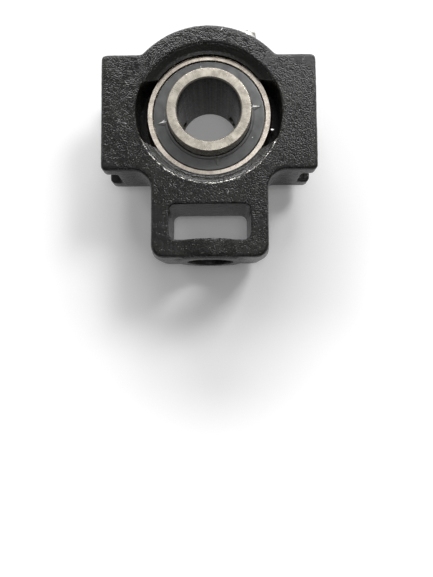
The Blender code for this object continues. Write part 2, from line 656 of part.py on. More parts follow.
def make_nipple(parent):
    """A hexagon grease nipple on its pad; its own Z points out of the dome."""
    frame = empty("nipple_axis", parent, NIPPLE_DIRECTION * NIPPLE_PAD_REACH)
    frame.rotation_euler = NIPPLE_DIRECTION.to_track_quat("Z", "Y").to_euler()
    hex_top = FIT_GAP + NIPPLE_HEX_HEIGHT
    shank = NIPPLE_THREAD / 2 - FIT_GAP
    head = NIPPLE_HEAD / 2
    mouth = NIPPLE_MOUTH / 2
    chamber = NIPPLE_CHAMBER / 2
    passage = NIPPLE_PASSAGE / 2
    collar = NIPPLE_HEX / 2 - HEX_SHOULDER
    lip = NIPPLE_HEIGHT
    cone = lip - NIPPLE_CROWN_DROP
    floor = NIPPLE_CHAMBER_FLOOR
    neck = NIPPLE_NECK / 2
    high = (cone + hex_top + NIPPLE_BAND) / 2
    low = high - NIPPLE_BAND
    profile = [(mouth + NIPPLE_LIP, lip), (NIPPLE_CROWN, cone), (head, high), (head, low)]
    profile += [(neck, low - NIPPLE_UNDERCUT), (neck, hex_top)]
    profile += [(collar, hex_top), (collar, FIT_GAP), (shank, FIT_GAP), (shank, -NIPPLE_THREAD_LENGTH)]
    profile += [(passage, -NIPPLE_THREAD_LENGTH), (passage, floor), (chamber, floor)]
    profile += [(chamber, cone - (chamber - mouth)), (mouth, cone), (mouth, lip)]
    body = as_part(turned("grease_nipple", profile, SMALL_STEPS, UNIT), ZINC_PLATE, frame)
    hex_width = NIPPLE_HEX / math.cos(math.radians(30))
    corner = hex_width / 2
    core = (collar + chamber) / 2
    profile = [(corner - HEX_CHAMFER, hex_top), (corner, hex_top - HEX_CHAMFER), (corner, FIT_GAP)]
    profile += [(core, FIT_GAP), (core, hex_top)]
    combine(body, as_cutter(turned("nipple_hexagon", profile, 6, CUTTERS), frame), "UNION")

    reach = (NIPPLE_BALL / 2 + FIT_GAP / 3) * math.sqrt(2)
    ball_height = cone + mouth - reach
    shape = bmesh.new()
    bmesh.ops.create_uvsphere(shape, u_segments=12, v_segments=8, radius=NIPPLE_BALL / 2)
    ball = as_part(add_mesh("nipple_ball", shape, UNIT), BALL_STEEL, frame)
    ball.location = (0, 0, ball_height)

    top = ball_height - NIPPLE_BALL / 2 - NIPPLE_BALL_TRAVEL - SPRING_WIRE / 2 - FIT_GAP / 2
    low = floor + FIT_GAP + SPRING_WIRE / 2
    make_spring(low, top, chamber - FIT_GAP - SPRING_WIRE / 2, frame)


def make_spring(low, top, radius, parent):
    points = SPRING_POINTS * SPRING_TURNS + 1
    curve = bpy.data.curves.new("nipple_spring", "CURVE")
    curve.dimensions = "3D"
    curve.bevel_depth = SPRING_WIRE / 2
    curve.bevel_resolution = 1
    curve.use_fill_caps = True
    wire = curve.splines.new("POLY")
    wire.points.add(points - 1)
    for number, point in enumerate(wire.points):
        angle = 2 * math.pi * SPRING_TURNS * number / (points - 1)
        height = low + (top - low) * number / (points - 1)
        point.co = (radius * math.cos(angle), radius * math.sin(angle), height, 1)
    spring = bpy.data.objects.new("nipple_spring", curve)
    UNIT.objects.link(spring)
    curve.materials.append(SPRING_STEEL)
    spring.parent = parent
    return spring


def make_insert(centre):
    """The ball bearing insert: its rings, seals, slingers, cage, balls and screws."""
    outer_frame = empty("alignment_axis", centre, (0, 0, 0))
    make_outer_ring(outer_frame)
    shaft_frame = empty("shaft_axis", outer_frame, (0, 0, 0))
    make_inner_ring(shaft_frame)
    for number, angle in enumerate(SET_SCREW_ANGLES, start=1):
        make_set_screw(number, angle, shaft_frame)
    cage_frame = empty("cage_axis", outer_frame, (0, 0, 0))
    for end, side in (("front", 1), ("rear", -1)):
        make_seal(f"seal_{end}", side, outer_frame)
        make_slinger(f"slinger_{end}", side, shaft_frame)
        make_cage_half(f"cage_{end}", side, cage_frame)
    for number in range(BALL_COUNT):
        make_rivet(number, cage_frame)
        angle = 2 * math.pi * number / BALL_COUNT
        ball = make_ball(number + 1, cage_frame)
        ball.location = (PITCH_RADIUS * math.cos(angle), PITCH_RADIUS * math.sin(angle), 0)


bearing_centre = empty("bearing_centre", None, BEARING_CENTRE)
make_housing(bearing_centre)
make_nipple(bearing_centre)
make_insert(bearing_centre)
bpy.context.view_layer.update()
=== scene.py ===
"""Looks of the take-up bearing unit: finishes, fine surfaces, soft studio light and the camera."""
import math

import bmesh
import bpy
from mathutils import Matrix, Vector, noise


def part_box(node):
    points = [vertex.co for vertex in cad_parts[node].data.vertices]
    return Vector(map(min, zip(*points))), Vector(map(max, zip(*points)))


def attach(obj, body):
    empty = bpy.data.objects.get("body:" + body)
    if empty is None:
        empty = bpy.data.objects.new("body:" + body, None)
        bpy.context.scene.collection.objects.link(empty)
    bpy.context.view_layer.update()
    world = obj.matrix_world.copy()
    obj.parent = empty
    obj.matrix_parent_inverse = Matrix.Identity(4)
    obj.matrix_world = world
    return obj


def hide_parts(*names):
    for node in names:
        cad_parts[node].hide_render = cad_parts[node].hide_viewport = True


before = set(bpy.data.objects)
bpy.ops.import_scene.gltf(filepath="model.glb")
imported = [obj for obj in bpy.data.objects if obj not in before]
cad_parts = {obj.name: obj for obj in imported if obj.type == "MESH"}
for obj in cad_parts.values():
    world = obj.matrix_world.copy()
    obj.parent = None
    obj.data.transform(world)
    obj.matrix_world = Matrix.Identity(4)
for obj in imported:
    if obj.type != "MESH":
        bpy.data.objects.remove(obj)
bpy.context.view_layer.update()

MM = 0.001

# Places read from the frame
RING_LOW, RING_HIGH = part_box("outer_ring")
CENTRE = (RING_LOW + RING_HIGH) / 2
SLEEVE_LOW, SLEEVE_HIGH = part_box("inner_ring")
SLINGER_LOW, SLINGER_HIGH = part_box("slinger_front")
SEAL_LOW, SEAL_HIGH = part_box("seal_front")

# Housing
HALF_BODY = 14.0 * MM
LIP_RADIUS = 34.0 * MM
LIP_BEVEL = 0.9 * MM
LIP_DROP = 0.4 * MM
LIP_ROUND = 0.3 * MM
SEAT_CLEARANCE = 0.3 * MM
SEAT_DEPTH = 3.2 * MM
LEDGE_WIDTH = 1.9 * MM
LEDGE_RISE = 0.5 * MM
STEP_WIDTH = 1.1 * MM
STEP_DEPTH = 1.0 * MM
STEP_SHELF = 0.3 * MM
NOTCH_RADIUS = 34.6 * MM
NOTCH_WIDTH = 28.0 * MM
NOTCH_FLARE = 0.4
NOTCH_CORNER = 1.2 * MM
NOTCH_FLOOR = 1.0 * MM
GREASE_HOLE = 1.5 * MM
VOXEL = 0.66 * MM

# Insert
SPHERE = (RING_HIGH.x - RING_LOW.x) / 2
HALF_OUTER = (RING_HIGH.z - RING_LOW.z) / 2
FACE_RADIUS = math.sqrt(SPHERE ** 2 - HALF_OUTER ** 2)
LAND_RADIUS = FACE_RADIUS - 2.4 * MM
SLEEVE_RADIUS = (SLEEVE_HIGH.x - SLEEVE_LOW.x) / 2
SHORT_SIDE = SLEEVE_HIGH.z - CENTRE.z
LONG_SIDE = CENTRE.z - SLEEVE_LOW.z
BORE_RADIUS = 15.0 * MM
BALL_RADIUS = 4.7625 * MM
BALL_COUNT = 9
RUNNING_GAP = 0.2375 * MM
FIT_GAP = 0.3 * MM
RACE_DEPTH = 2.1 * MM
RING_CHAMFER = 0.12 * MM
SLEEVE_CHAMFER = 0.5 * MM
BORE_CHAMFER = 0.6 * MM
GROOVE_RADIUS = 0.53 * 2 * BALL_RADIUS
INNER_RACE = SLEEVE_RADIUS - RACE_DEPTH
PITCH_RADIUS = INNER_RACE + RUNNING_GAP + BALL_RADIUS
OUTER_RACE = PITCH_RADIUS + BALL_RADIUS + RUNNING_GAP
SHOULDER_RADIUS = OUTER_RACE - RACE_DEPTH
SEAL_FACE = SEAL_LOW.z - CENTRE.z
SEAL_TOP = SEAL_HIGH.z - CENTRE.z
SEAL_FLOOR = SEAL_FACE - FIT_GAP
SLINGER_RADIUS = (SLINGER_HIGH.x - SLINGER_LOW.x) / 2
SLINGER_TOP = HALF_OUTER - FIT_GAP
SLINGER_SHEET = 0.9 * MM
SLINGER_FOOT = SLINGER_LOW.z - CENTRE.z
RIDGE_TURN = 9.5
RIDGE_COUNT = 4
RIDGE_LENGTH = 4.4 * MM
RIDGE_HEIGHT = 0.85 * MM
RIDGE_HALF = 1.9 * MM
RIDGE_TIP_HALF = 0.3 * MM
RIDGE_TIP_HEIGHT = 0.25 * MM
CAGE_SHEET = 0.7 * MM
CAGE_WIDTH = 3.6 * MM
RIVET_HOLE = 0.7 * MM
RIVET_SHANK = 0.6 * MM
SCREW_RADIUS = 2.7 * MM
SCREW_HALF = 2.5 * MM
SCREW_HEIGHT = 5.0 * MM - LONG_SIDE
SCREW_ANGLES = (36.5, 156.5)
SCREW_SEAT = SLEEVE_RADIUS + 1.0 * MM - SCREW_HALF
SCREW_POINT = 0.9 * MM
SOCKET_ACROSS = 3.0 * MM
THREAD_PITCH = 1.0 * MM
SCREW_THREAD = 0.4 * MM
HOLE_THREAD = 0.2 * MM
PIN_ANGLE = -8.4
PIN_HEIGHT = 2.5 * MM
PIN_RADIUS = 1.2 * MM
PIN_STAND_OUT = 1.6 * MM
PIN_DEPTH = 1.2 * MM
PIN_ROUND = 0.4 * MM

# Grease nipple
NIPPLE_ANGLE = 24.5
NIPPLE_PAD = 45.0 * MM
NIPPLE_THREAD = 5.4 * MM
# Radius and height in mm, from the head down the outside and up the passage
NIPPLE_PROFILE = ((1.3, 7.6), (2.475, 7.1), (3.3, 5.9), (3.3, 5.3), (2.5, 4.5), (2.5, 4.1), (3.4, 4.1),
                  (3.4, 0.3), (2.7, 0.3), (2.7, -5.4), (0.8, -5.4), (0.8, 1.1), (1.6, 1.1), (1.6, 6.4),
                  (0.9, 7.1), (0.9, 7.6))
HEXAGON_ACROSS = 8.0 * MM
HEXAGON_LOW = 0.3 * MM
HEXAGON_HIGH = 4.1 * MM
CHECK_BALL_RADIUS = 1.3 * MM
CHECK_BALL_HEIGHT = 6.02 * MM
COIL_RADIUS = 1.1 * MM
COIL_WIRE = 0.4 * MM
COIL_LOW = 1.6 * MM
COIL_RISE = 1.97 * MM
COIL_TURNS = 3

# Small marks on the front, from the photograph: start, end and half width in mm, and brightness. The two
# upright strokes on the tail's boss are painted highlights, along its crown and along its edge.
MARKS_ABOVE = 6.0 * MM
PAINT_MARKS_AND_HIGHLIGHTS = (((6.0, 39.0), (6.8, 40.6), 0.22, 0.75), ((5.6, 39.2), (6.1, 40.2), 0.2, 0.0),
               ((2.7, 36.3), (2.9, 37.9), 0.3, 0.0), ((-38.5, -6.0), (-40.1, -5.2), 0.2, 0.5),
               # Painted highlights on the boss: along its crown, and along its edge.
               ((2.5, -58.6), (2.45, -62.0), 0.16, 0.2), ((14.6, -58.0), (14.8, -63.0), 0.5, 0.06),
               ((8.3, -39.5), (8.9, -37.9), 0.2, 0.4), ((-22.6, 0.8), (-20.9, 0.8), 0.15, 0.3))
RING_MARKS = (((22.7, 18.7), (23.2, 18.0), 0.14, 0.03), ((24.1, 15.8), (24.6, 14.9), 0.14, 0.05))
SLINGER_MARKS = (((20.3, -10.96), (21.0, -10.9), 0.22, 0.9),)

# The photograph's size in pixels, and its camera, as fitted to the outlines
PICTURE_WIDTH = 433
PICTURE_HEIGHT = 577
SENSOR = 36
CAMERA_PLACE = Vector((2.72, -94.72, 211.85)) * MM
CAMERA_TURNS = (("X", 3.25), ("Y", -0.04), ("Z", -0.47))

RING_STEPS = 160
UPSIDE_DOWN = Matrix.Rotation(math.pi, 4, "X")

# Windows: name, angle from +X, height angle, width and height in metres, and radiance
LAMPS = (("key_window", 50, 40, (0.28, 0.28), 20), ("back_window", 92, 24, (0.8, 0.26), 16),
         ("left_window", 150, 28, (0.25, 0.3), 5), ("overhead", 300, 84, (0.3, 0.3), 4))


# Mesh helpers

def spoke(angle):
    """The direction at an angle in degrees from +X, in the plane of the rings."""
    return Vector((math.cos(math.radians(angle)), math.sin(math.radians(angle)), 0))


def facing(direction, place=(0, 0, 0)):
    """The matrix that turns +Z to a direction and moves to a place."""
    return Matrix.Translation(place) @ Vector(direction).to_track_quat("Z", "Y").to_matrix().to_4x4()


def new_piece(name, shape, material, body, replaces, sharp=32, turn=None):
    """Turns a bmesh modelled about the bearing centre into a finished piece in its place."""
    if turn is not None:
        bmesh.ops.transform(shape, matrix=turn, verts=shape.verts)
    bmesh.ops.translate(shape, vec=CENTRE, verts=shape.verts)
    mesh = bpy.data.meshes.new(name)
    shape.to_mesh(mesh)
    shape.free()
    mesh.shade_smooth()
    mesh.set_sharp_from_angle(angle=math.radians(sharp))
    piece = bpy.data.objects.new(name, mesh)
    bpy.context.scene.collection.objects.link(piece)
    mesh.materials.append(material)
    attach(piece, body)
    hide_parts(*replaces)
    return piece


def arc(centre, radius, first, last, count):
    """Points on a circle from one angle to another, in degrees, both ends included."""
    angles = [math.radians(first + (last - first) * i / count) for i in range(count + 1)]
    return [(centre[0] + radius * math.cos(a), centre[1] + radius * math.sin(a)) for a in angles]


def eased(profile, radius, steps=3, closed=True):
    """Rounds the sharp corners of a profile where the sides are long enough for the radius."""
    count = len(profile)
    points = []
    for i, corner in enumerate(profile):
        if not closed and i in (0, count - 1):
            points.append(corner)
            continue
        here = Vector(corner)
        back = Vector(profile[i - 1]) - here
        ahead = Vector(profile[(i + 1) % count]) - here
        bend = math.pi - back.angle(ahead)
        cut = radius * math.tan(bend / 2)
        if bend < math.radians(25) or cut > 0.45 * min(back.length, ahead.length):
            points.append(corner)
            continue
        start = here + back.normalized() * cut
        end = here + ahead.normalized() * cut
        for k in range(steps + 1):
            t = k / steps
            point = start.lerp(here, t).lerp(here.lerp(end, t), t)
            points.append((point.x, point.y))
    return points


def spun(profile, steps=RING_STEPS, closed=True):
    """A profile of (radius, height) points, spun about Z into a closed bmesh."""
    shape = bmesh.new()
    verts = [shape.verts.new((max(radius, 0), 0, height)) for radius, height in profile]
    pairs = list(zip(verts, verts[1:])) + ([(verts[-1], verts[0])] if closed else [])
    edges = [shape.edges.new(pair) for pair in pairs]
    bmesh.ops.spin(shape, geom=verts + edges, cent=(0, 0, 0), axis=(0, 0, 1), angle=2 * math.pi,
                   steps=steps, use_merge=True, use_duplicate=False)
    bmesh.ops.remove_doubles(shape, verts=shape.verts, dist=0.000001)
    bmesh.ops.recalc_face_normals(shape, faces=shape.faces)
    return shape


def worked(shape, kind, **settings):
    """A bmesh after one modifier of a kind."""
    mesh = bpy.data.meshes.new("work")
    shape.to_mesh(mesh)
    shape.free()
    work = bpy.data.objects.new("work", mesh)
    bpy.context.scene.collection.objects.link(work)
    modifier = work.modifiers.new("work", kind)
    for name, value in settings.items():
        setattr(modifier, name, value)
    result = bmesh.new()
    result.from_object(work, bpy.context.evaluated_depsgraph_get())
    bpy.data.objects.remove(work, do_unlink=True)
    return result


def carved(shape, cutter, operation="DIFFERENCE"):
    """Cuts one bmesh from another, or joins them."""
    bmesh.ops.triangulate(cutter, faces=cutter.faces)
    mesh = bpy.data.meshes.new("cutter")
    cutter.to_mesh(mesh)
    cutter.free()
    tool = bpy.data.objects.new("cutter", mesh)
    bpy.context.scene.collection.objects.link(tool)
    result = worked(shape, "BOOLEAN", operation=operation, solver="EXACT", object=tool)
    bpy.data.objects.remove(tool, do_unlink=True)
    return result


def gathered(shapes):
    """Several separate bmeshes as one."""
    whole = bmesh.new()
    for shape in shapes:
        mesh = bpy.data.meshes.new("gathered")
        shape.to_mesh(mesh)
        shape.free()
        whole.from_mesh(mesh)
        bpy.data.meshes.remove(mesh)
    return whole


def rod(radius, start, end, steps, matrix=Matrix.Identity(4)):
    """A closed prism or cylinder along Z."""
    shape = bmesh.new()
    bmesh.ops.create_cone(shape, cap_ends=True, segments=steps, radius1=radius, radius2=radius,
                          depth=end - start)
    bmesh.ops.translate(shape, vec=(0, 0, (start + end) / 2), verts=shape.verts)
    bmesh.ops.transform(shape, matrix=matrix, verts=shape.verts)
    return shape


def threaded(profile, radius, depth, steps=40):
    """A spun profile whose widest stretch is cut into a V thread along a helix."""
    shape = spun(profile, steps, closed=False)
    for vert in shape.verts:
        reach = math.hypot(vert.co.x, vert.co.y)
        if reach > radius - depth / 4:
            turn = vert.co.z / THREAD_PITCH - math.atan2(vert.co.y, vert.co.x) / (2 * math.pi)
            scale = 1 - depth * (1 - abs(2 * (turn % 1) - 1)) / reach
            vert.co.x *= scale
            vert.co.y *= scale
    return shape


def stretch(radius, low, high):
    """Rows of points for a thread, eight to a turn."""
    rows = round(8 * (high - low) / THREAD_PITCH)
    return [(radius, low + (high - low) * i / rows) for i in range(rows + 1)]


# Material helpers

def material_tree(name):
    """A new material with its node tree and its shader."""
    material = bpy.data.materials.new(name)
    material.use_nodes = True
    tree = material.node_tree
    return material, tree, tree.nodes["Principled BSDF"]


def put(tree, kind, inputs=None, **settings):
    """Adds a node; inputs maps socket names or numbers to values or to other nodes' sockets."""
    made = tree.nodes.new(kind)
    for name, value in settings.items():
        setattr(made, name, value)
    for socket, value in (inputs or {}).items():
        if isinstance(value, bpy.types.NodeSocket):
            tree.links.new(value, made.inputs[socket])
        else:
            made.inputs[socket].default_value = value
    return made


def maths(tree, operation, *values):
    """The result of a Math node."""
    return put(tree, "ShaderNodeMath", dict(enumerate(values)), operation=operation).outputs[0]


def vectors(tree, operation, *values):
    """The result of a Vector Math node: a number for a length or a dot product, or else a vector."""
    outputs = put(tree, "ShaderNodeVectorMath", dict(enumerate(values)), operation=operation).outputs
    return outputs[1 if operation in ("LENGTH", "DOT_PRODUCT") else 0]


def coordinate(tree, vector, axis):
    """One coordinate of a vector, by its number."""
    return put(tree, "ShaderNodeSeparateXYZ", {0: vector}).outputs[axis]


def centred(tree):
    """Object coordinates measured from the bearing centre."""
    place = put(tree, "ShaderNodeTexCoord").outputs["Object"]
    return put(tree, "ShaderNodeMapping", {"Vector": place, "Location": -CENTRE}).outputs[0]


def height_from_middle(tree, place):
    """The distance from the rings' middle plane, on either side."""
    return maths(tree, "ABSOLUTE", coordinate(tree, place, 2))


def speckle(tree, vector, scale, detail=2.0, roughness=0.5):
    """Soft noise about 0.5."""
    return put(tree, "ShaderNodeTexNoise", {"Vector": vector, "Scale": scale, "Detail": detail,
                                            "Roughness": roughness}).outputs["Fac"]


def beads(tree, place, scale, sparse):
    """The height of round beads, taller in some places than in others."""
    cells = put(tree, "ShaderNodeTexVoronoi", {"Vector": place, "Scale": scale, "Randomness": 1.0})
    near = cells.outputs["Distance"]
    size = ramp(tree, speckle(tree, place, scale / 4), 0.3, 0.7, -1.0, sparse - 1.0)
    return maths(tree, "MULTIPLY", maths(tree, "MULTIPLY", near, near), size)


def ramp(tree, value, low, high, low_out=0.0, high_out=1.0):
    """A straight ramp of one value, held level beyond its ends."""
    return put(tree, "ShaderNodeMapRange", {"Value": value, "From Min": low, "From Max": high,
                                            "To Min": low_out, "To Max": high_out}).outputs[0]


def blend(tree, factor, first, second):
    """One colour turned into another by a factor."""
    mixed = put(tree, "ShaderNodeMix", {"Factor": factor, 6: first, 7: second}, data_type="RGBA")
    return mixed.outputs[2]


def bump(tree, height, distance, strength=1.0, under=None):
    """The normal of a height in metres, over another bump."""
    inputs = {"Height": height, "Distance": distance, "Strength": strength}
    if under is not None:
        inputs["Normal"] = under
    return put(tree, "ShaderNodeBump", inputs).outputs[0]


def around_axis(tree, place):
    """The radius from the bore's axis, and the direction out from it as a vector."""
    flat = vectors(tree, "MULTIPLY", place, (1, 1, 0))
    return vectors(tree, "LENGTH", flat), vectors(tree, "NORMALIZE", flat)


def marked(tree, place, base, marks):
    """A colour with small strokes over it."""
    for start, end, width, shade in marks:
        base = blend(tree, dab(tree, place, start, end, width), base, (shade, shade, shade, 1))
    return base


def dab(tree, place, start, end, width):
    """1 inside a small stroke on the front, between two points in millimetres, and 0 elsewhere."""
    start, end = Vector(start) * MM, Vector(end) * MM
    along = end - start
    moved = vectors(tree, "SUBTRACT", place, (*(start + end) / 2, 0))
    turn = (0, 0, -math.atan2(along.y, along.x))
    turned = put(tree, "ShaderNodeMapping", {"Vector": moved, "Rotation": turn}).outputs[0]
    scaled = vectors(tree, "MULTIPLY", turned, (2 / along.length, 1 / (width * MM), 0))
    inside = ramp(tree, vectors(tree, "LENGTH", scaled), 0.7, 1.0, 1.0, 0.0)
    front = ramp(tree, coordinate(tree, place, 2), MARKS_ABOVE, MARKS_ABOVE + MM)
    return maths(tree, "MULTIPLY", inside, front)


# Materials

def make_paint():
    """Black paint over a sand casting: beads of paint on coarse grain, with pale dots painted in as glints.
    """
    material, tree, shader = material_tree("black_cast_paint")
    place = centred(tree)
    patch = speckle(tree, place, 60, 4.0)
    color = blend(tree, ramp(tree, patch, 0.35, 0.65), (0.007, 0.007, 0.0065, 1), (0.013, 0.013, 0.0115, 1))
    sides = height_from_middle(tree, place)
    # Pale dots: painted highlights standing in for glints on the paint beads.
    color = blend(tree, painted_glints(tree, place, sides), color, (0.24, 0.24, 0.22, 1))
    # Chipped lip in bare metal, partly a painted highlight: the band is laid thickest toward -Y.
    lip_chips_and_highlight = chipped_and_highlit_lip(tree, place, sides)
    color = blend(tree, lip_chips_and_highlight, color, (0.3, 0.29, 0.27, 1))
    tree.links.new(lip_chips_and_highlight, shader.inputs["Metallic"])
    # Strokes of chips and scratches, with two painted highlights on the boss.
    tree.links.new(marked(tree, place, color, PAINT_MARKS_AND_HIGHLIGHTS), shader.inputs["Base Color"])
    tree.links.new(ramp(tree, patch, 0.3, 0.7, 0.22, 0.29), shader.inputs["Roughness"])
    strength = ramp(tree, sides, HALF_BODY - 0.8 * MM, HALF_BODY - 0.3 * MM, 0.35, 1.0)
    grain = bump(tree, speckle(tree, place, 500, 3.0, 0.6), 0.13 * MM)
    fine = bump(tree, beads(tree, place, 1600, 0.65), 0.27 * MM, strength, grain)
    tree.links.new(fine, shader.inputs["Normal"])
    shader.inputs["IOR"].default_value = 1.36
    return material


def painted_glints(tree, place, sides):
    """1 in some of many small dots of painted glint, mostly on the front and the back, and 0 elsewhere."""
    cells = put(tree, "ShaderNodeTexVoronoi", {"Vector": place, "Scale": 1300, "Randomness": 1.0})
    chance = put(tree, "ShaderNodeSeparateColor", {0: cells.outputs["Color"]}).outputs[0]
    dot = ramp(tree, cells.outputs["Distance"], 0.22, 0.34, 1.0, 0.0)
    on_face = ramp(tree, sides, HALF_BODY - 1.5 * MM, HALF_BODY - 0.5 * MM, 0.12, 1.0)
    return maths(tree, "MULTIPLY", maths(tree, "MULTIPLY", dot, ramp(tree, chance, 0.78, 1.0)), on_face)


def chipped_and_highlit_lip(tree, place, sides):
    """1 along the machined lip of the opening, where its paint is chipped, and 0 elsewhere; the chipping is
    thickest toward -Y, a painted highlight where light from behind catches the lip.
    """
    ragged = ramp(tree, speckle(tree, place, 900, 2.0, 0.6), 0.3, 0.7, -0.35 * MM, 0.35 * MM)
    near = maths(tree, "ADD", around_axis(tree, place)[0], ragged)
    away = maths(tree, "ABSOLUTE", maths(tree, "SUBTRACT", near, LIP_RADIUS + 0.3 * MM))
    line = ramp(tree, away, 0.15 * MM, 0.32 * MM, 1.0, 0.0)
    upper = ramp(tree, sides, HALF_BODY - 1.0 * MM, HALF_BODY - 0.8 * MM)
    # Thicker toward -Y: painted highlight where the back light catches the lower lip.
    least = maths(tree, "ADD", ramp(tree, coordinate(tree, place, 1), -6 * MM, 0, 0.0, 0.16), 0.36)
    kept = ramp(tree, speckle(tree, place, 350), least, 0.52)
    return maths(tree, "MULTIPLY", maths(tree, "MULTIPLY", line, upper), kept)


def make_steel(name, color, worn, roughness, hatch, turning=0.0, bore=None, drawn=0.0, marks=()):
    """Ground steel: fine marks that run out from the axis, and turned marks that run round it."""
    material, tree, shader = material_tree(name)
    place = centred(tree)
    radius, outward = around_axis(tree, place)
    cloud = speckle(tree, place, 260, 4.0, 0.65)
    tone = ramp(tree, maths(tree, "ADD", cloud, speckle(tree, outward, 60, 3.0, 0.7)), 0.8, 1.2)
    base = blend(tree, tone, (*worn, 1), (*color, 1))
    # Dark bore in streaks: painted shade and painted reflections inside the hole.
    if bore is not None:
        inside = ramp(tree, radius, BORE_RADIUS + 0.05 * MM, BORE_RADIUS + 0.15 * MM)
        lines = ramp(tree, speckle(tree, outward, 9, 5.0, 0.7), 0.35, 0.65)
        painted_bore_shade = blend(tree, lines, (*[c * 0.3 for c in bore], 1), (*bore, 1))
        base = blend(tree, inside, painted_bore_shade, base)
    edge = chamfers(tree)
    base = blend(tree, edge, marked(tree, place, base, marks), (*[c * 0.3 for c in color], 1))
    tree.links.new(base, shader.inputs["Base Color"])
    dull = ramp(tree, cloud, 0.3, 0.7, roughness * 0.8, roughness * 1.25)
    tree.links.new(ramp(tree, edge, 0.0, 1.0, dull, 0.5), shader.inputs["Roughness"])
    shader.inputs["Metallic"].default_value = 1.0
    shader.inputs["Anisotropic"].default_value = drawn
    circling = put(tree, "ShaderNodeTangent", direction_type="RADIAL", axis="Z").outputs[0]
    tree.links.new(circling, shader.inputs["Tangent"])
    rings = put(tree, "ShaderNodeCombineXYZ", {0: radius, 1: coordinate(tree, place, 2), 2: 0.0}).outputs[0]
    turned = bump(tree, speckle(tree, rings, 7000, 2.0, 0.7), 0.02 * MM, turning)
    ground = bump(tree, speckle(tree, outward, 110, 3.0, 0.7), 0.02 * MM, hatch, turned)
    tree.links.new(ground, shader.inputs["Normal"])
    return material


def chamfers(tree):
    """1 on the slopes between a ring's flat faces and its upright walls, and 0 on both."""
    upright = coordinate(tree, put(tree, "ShaderNodeNewGeometry").outputs["Normal"], 2)
    level = maths(tree, "ABSOLUTE", upright)
    return maths(tree, "MULTIPLY", ramp(tree, level, 0.93, 0.985, 1.0, 0.0), ramp(tree, level, 0.1, 0.4))


def make_slinger_steel():
    """Blued sheet, worn bright on the ridges."""
    material, tree, shader = material_tree("blued_slinger_steel")
    place = centred(tree)
    cloud = speckle(tree, place, 300, 3.0)
    base = blend(tree, ramp(tree, cloud, 0.3, 0.7), (0.10, 0.102, 0.102, 1), (0.125, 0.128, 0.128, 1))
    above = height_from_middle(tree, place)
    raised = ramp(tree, above, SLINGER_TOP + 0.04 * MM, SLINGER_TOP + 0.12 * MM)
    collar = SLEEVE_RADIUS + FIT_GAP + SLINGER_SHEET
    beyond = ramp(tree, around_axis(tree, place)[0], collar + 0.3 * MM, collar + 0.5 * MM)
    base = blend(tree, maths(tree, "MULTIPLY", raised, beyond), base, (0.17, 0.168, 0.162, 1))
    tree.links.new(marked(tree, place, base, SLINGER_MARKS), shader.inputs["Base Color"])
    tree.links.new(ramp(tree, cloud, 0.3, 0.7, 0.32, 0.46), shader.inputs["Roughness"])
    shader.inputs["Metallic"].default_value = 0.6
    tree.links.new(bump(tree, speckle(tree, place, 4000), 0.05 * MM, 0.2), shader.inputs["Normal"])
    return material


def make_plain(name, color, roughness, metallic=0.0, grain=0.1):
    """A finish with a fine grain and slight clouding, for the small pieces."""
    material, tree, shader = material_tree(name)
    place = centred(tree)
    cloud = speckle(tree, place, 300, 3.0)
    pale = tuple(min(1, c * 1.25) for c in color)
    base = blend(tree, ramp(tree, cloud, 0.3, 0.7), (*color, 1), (*pale, 1))
    tree.links.new(base, shader.inputs["Base Color"])
    tree.links.new(ramp(tree, cloud, 0.3, 0.7, roughness * 0.8, roughness * 1.2), shader.inputs["Roughness"])
    shader.inputs["Metallic"].default_value = metallic
    tree.links.new(bump(tree, speckle(tree, place, 4000), 0.05 * MM, grain), shader.inputs["Normal"])
    return material


PAINT = make_paint()
RING_STEEL = make_steel("ground_ring_steel", (0.84, 0.77, 0.68), (0.64, 0.56, 0.48), 0.28, hatch=0.12,
                        drawn=0.7, marks=RING_MARKS)
# The sleeve's dark bore colour is painted shade and painted reflection inside the hole.
SLEEVE_STEEL = make_steel("ground_sleeve_steel", (0.80, 0.745, 0.645), (0.58, 0.53, 0.45), 0.27, hatch=0.15,
                          turning=0.08, bore=(0.075, 0.073, 0.07))
SLINGER_FINISH = make_slinger_steel()
BALL_STEEL = make_plain("polished_ball_steel", (0.72, 0.72, 0.73), 0.08, 1.0, 0.02)
CAGE_STEEL = make_plain("pressed_cage_steel", (0.42, 0.40, 0.37), 0.35, 1.0)
RUBBER = make_plain("seal_rubber", (0.02, 0.02, 0.022), 0.65)
OXIDE = make_plain("black_oxide_steel", (0.03, 0.03, 0.034), 0.4, 0.8)
ZINC = make_plain("bright_zinc", (0.62, 0.61, 0.58), 0.36, 1.0)
SPRING_WIRE = make_plain("spring_wire_steel", (0.45, 0.45, 0.46), 0.3, 1.0)


# Housing

def cast_skin(point):
    """How far the sand-cast skin lies below the true surface, in metres."""
    sand = noise.noise(point * 620) + 0.5 * noise.noise(point * 1300)
    wave = noise.noise(point * 90)
    return (0.07 * sand + 0.10 * wave - 0.12) * MM


def roughen(shape, verts):
    """Moves points along their normals by the cast skin."""
    shape.normal_update()
    for vert, move in [(vert, vert.normal * cast_skin(vert.co)) for vert in verts]:
        vert.co += move


def make_blank():
    """The casting before its seat is bored: the frame's solid, filled, with a rounded cast skin."""
    shape = bmesh.new()
    shape.from_mesh(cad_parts["housing"].data)
    bmesh.ops.remove_doubles(shape, verts=shape.verts, dist=0.000001)
    bmesh.ops.translate(shape, vec=-CENTRE, verts=shape.verts)
    reach = NOTCH_RADIUS + 0.4 * MM
    bmesh.ops.create_cone(shape, cap_ends=True, segments=96, radius1=reach, radius2=reach,
                          depth=2 * HALF_BODY)
    shape = worked(shape, "REMESH", mode="VOXEL", voxel_size=VOXEL)
    for _ in range(2):
        bmesh.ops.smooth_vert(shape, verts=shape.verts, factor=0.5, use_axis_x=True, use_axis_y=True,
                              use_axis_z=True)
    roughen(shape, shape.verts)
    bmesh.ops.triangulate(shape, faces=shape.faces)
    return shape


